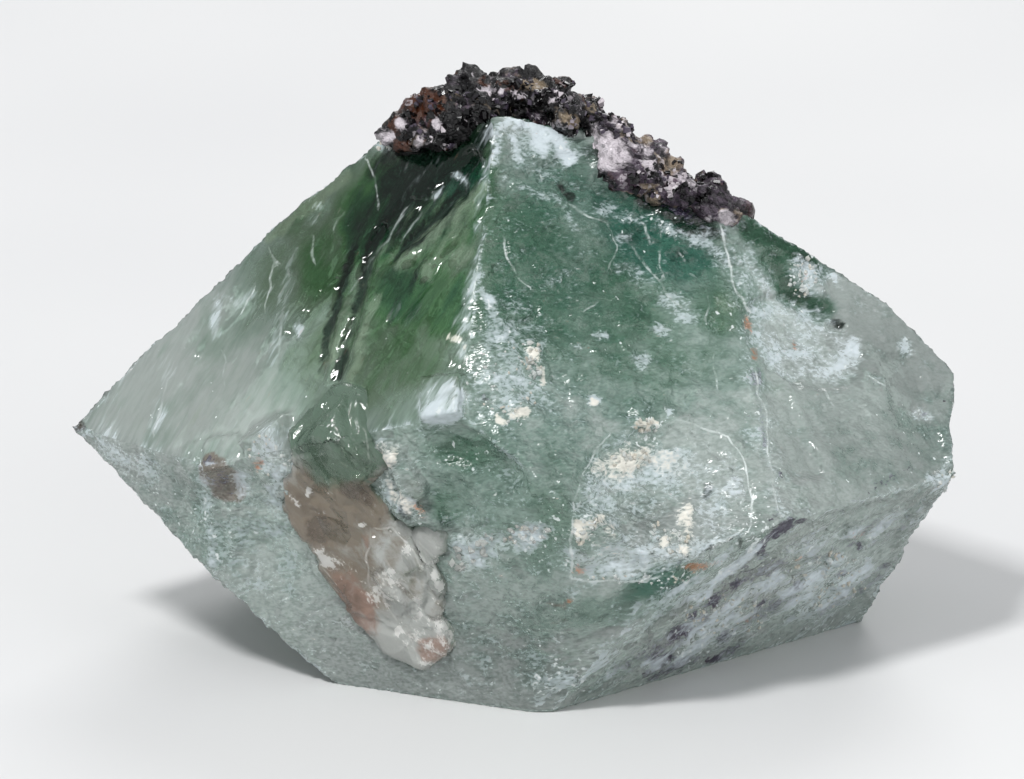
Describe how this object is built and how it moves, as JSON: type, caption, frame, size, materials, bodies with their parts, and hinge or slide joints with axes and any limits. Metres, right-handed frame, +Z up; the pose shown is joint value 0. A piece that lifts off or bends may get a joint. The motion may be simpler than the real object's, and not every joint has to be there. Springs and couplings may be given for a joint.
{
  "type": "fluorite specimen",
  "caption": "Hand-sized rough green fluorite crystal, octahedral with cleaved and broken faces, a dark matrix rind on its crown and a small quartz cluster, resting on a flat broken base.",
  "frame": {"origin": "centre of the bounding box, on the surface that the stone rests on", "axes": "+Z up, +X along the stone's longest side, -Y toward the side with the green window and the quartz cluster"},
  "size_m": [0.0846, 0.0486, 0.0569],
  "materials": {
    "fluorite": "glassy to frosted, translucent",
    "matrix": "rough, dark, with glints",
    "quartz": "satin, smoky, translucent"
  },
  "bodies": {
    "root": {"fluorite_crystal": "fluorite", "matrix_rind": "matrix", "quartz_cluster": "quartz"}
  },
  "joints": []
}
